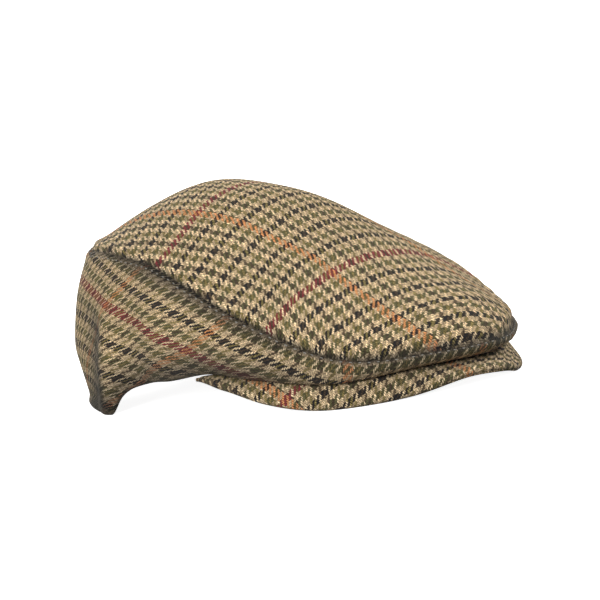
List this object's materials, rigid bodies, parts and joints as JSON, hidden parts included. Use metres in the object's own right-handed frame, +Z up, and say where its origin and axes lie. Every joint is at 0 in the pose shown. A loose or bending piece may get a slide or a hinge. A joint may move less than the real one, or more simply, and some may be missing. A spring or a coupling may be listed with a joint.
{
  "type": "flat cap",
  "caption": "Rounded woollen flat cap: a one-piece top panel seamed to two side panels, with a stiff cloth-covered peak under its front, resting as it does on a table.",
  "frame": {"origin": "on the floor, under the middle of the whole cap", "axes": "the peak looks toward -Y, the wearer's left is +X, up is +Z"},
  "size_m": [0.2016, 0.2692, 0.1189],
  "materials": {
    "crown_top": "woollen tweed, gun-club check with dark red and rust overchecks",
    "side_left": "the same tweed turned a quarter turn",
    "side_right": "the same tweed turned a quarter turn",
    "peak": "the same tweed over a stiffener"
  },
  "bodies": {
    "root": {"crown_top": "crown_top", "side_left": "side_left", "side_right": "side_right", "peak": "peak"}
  },
  "joints": []
}
